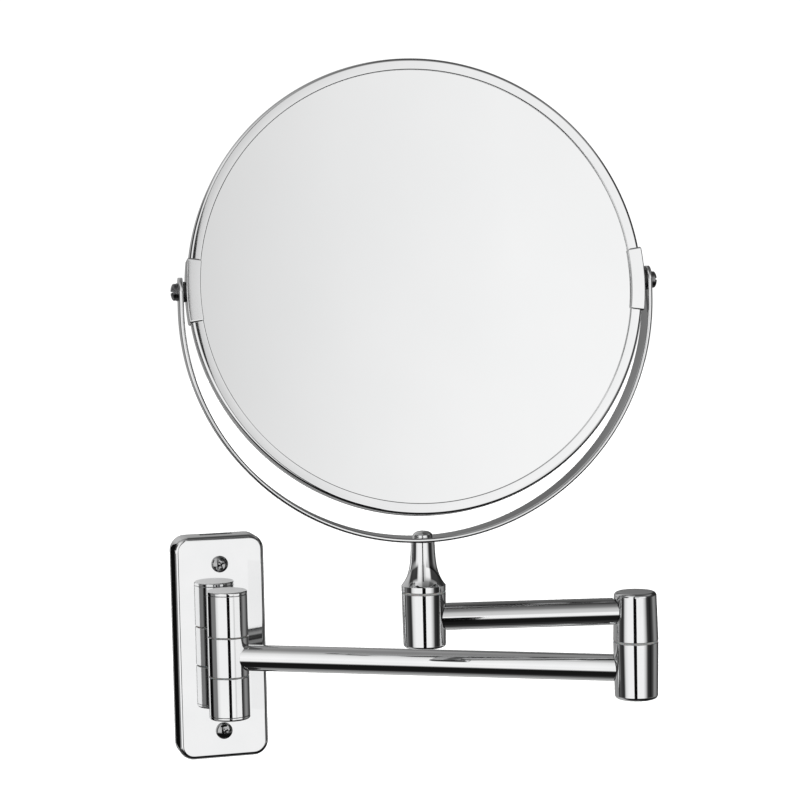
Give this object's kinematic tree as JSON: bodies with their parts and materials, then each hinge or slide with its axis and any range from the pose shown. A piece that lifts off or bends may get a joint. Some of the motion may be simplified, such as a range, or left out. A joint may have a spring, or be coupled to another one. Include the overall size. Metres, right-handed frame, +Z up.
{
  "type": "extendable shaving mirror",
  "caption": "Wall-mounted shaving mirror: round flip-over mirror in a swivelling U-shaped yoke on a folding tube arm with a rectangular wall plate.",
  "frame": {"origin": "centre of the wall bracket's back face, on the wall", "axes": "+Y into the wall, +Z up, +X to the right when facing the wall"},
  "size_m": [0.2138, 0.1315, 0.3211],
  "materials": {
    "chrome": "polished chrome plate",
    "steel": "zinc-plated steel",
    "dark_steel": "dark steel fastener",
    "nylon": "natural nylon",
    "black_plastic": "black moulded plastic",
    "mirror_glass": "silvered glass",
    "card": "plain pressed board"
  },
  "bodies": {
    "wall_plate": {"cover_plate": "chrome", "wall_bracket": "steel", "backing_strap": "steel", "cover_pillar_upper": "steel", "cover_pillar_lower": "steel", "cover_screw_upper": "chrome", "cover_screw_lower": "chrome", "lug_screw_upper": "steel", "lug_screw_lower": "steel", "hinge_knuckle_upper": "chrome", "hinge_knuckle_lower": "chrome", "hinge_cap_upper": "chrome", "hinge_cap_lower": "chrome", "hinge_bolt": "steel", "hinge_disc_spring": "dark_steel", "hinge_nut": "steel", "hinge_washer_upper": "nylon", "hinge_washer_lower": "nylon"},
    "long_arm": {"hinge_knuckle_middle": "chrome", "hinge_bush": "nylon", "long_arm_tube": "chrome", "elbow_knuckle_lower": "chrome", "elbow_cap_lower": "chrome", "elbow_bolt": "steel", "elbow_disc_spring": "dark_steel", "elbow_nut": "steel", "elbow_washer": "nylon"},
    "short_arm": {"elbow_knuckle_upper": "chrome", "elbow_bush": "nylon", "elbow_cap_upper": "chrome", "short_arm_tube": "chrome", "post_body": "chrome", "post_cap": "chrome", "swivel_washer": "nylon"},
    "yoke": {"swivel_neck": "chrome", "swivel_bolt": "steel", "swivel_disc_spring": "dark_steel", "yoke_strip": "chrome", "yoke_screw": "chrome"},
    "mirror": {"hoop_upper": "chrome", "hoop_lower": "chrome", "glass_plain": "mirror_glass", "glass_magnifying": "mirror_glass", "backing_card": "card", "pivot_sleeve_right": "chrome", "pivot_sleeve_left": "chrome", "pivot_spacer_right": "black_plastic", "pivot_spacer_left": "black_plastic", "pivot_washer_right": "dark_steel", "pivot_washer_left": "dark_steel", "pivot_screw_right": "dark_steel", "pivot_screw_left": "dark_steel"}
  },
  "joints": [
    {"name": "wall_hinge", "type": "hinge", "parent": "wall_plate", "child": "long_arm", "pos_m": [0, -0.0279, 0], "axis": [0, 0, 1], "range_deg": [-150.4, 29.6]},
    {"name": "elbow_hinge", "type": "hinge", "parent": "long_arm", "child": "short_arm", "pos_m": [0.16477, -0.1215, 0], "axis": [0, 0, 1], "continuous": true},
    {"name": "post_swivel", "type": "hinge", "parent": "short_arm", "child": "yoke", "pos_m": [0.07349, -0.10126, 0], "axis": [0, 0, 1], "continuous": true},
    {"name": "mirror_tilt", "type": "hinge", "parent": "yoke", "child": "mirror", "pos_m": [0.07349, -0.10126, 0.1694], "axis": [0.9947, -0.1028, 0], "continuous": true}
  ]
}
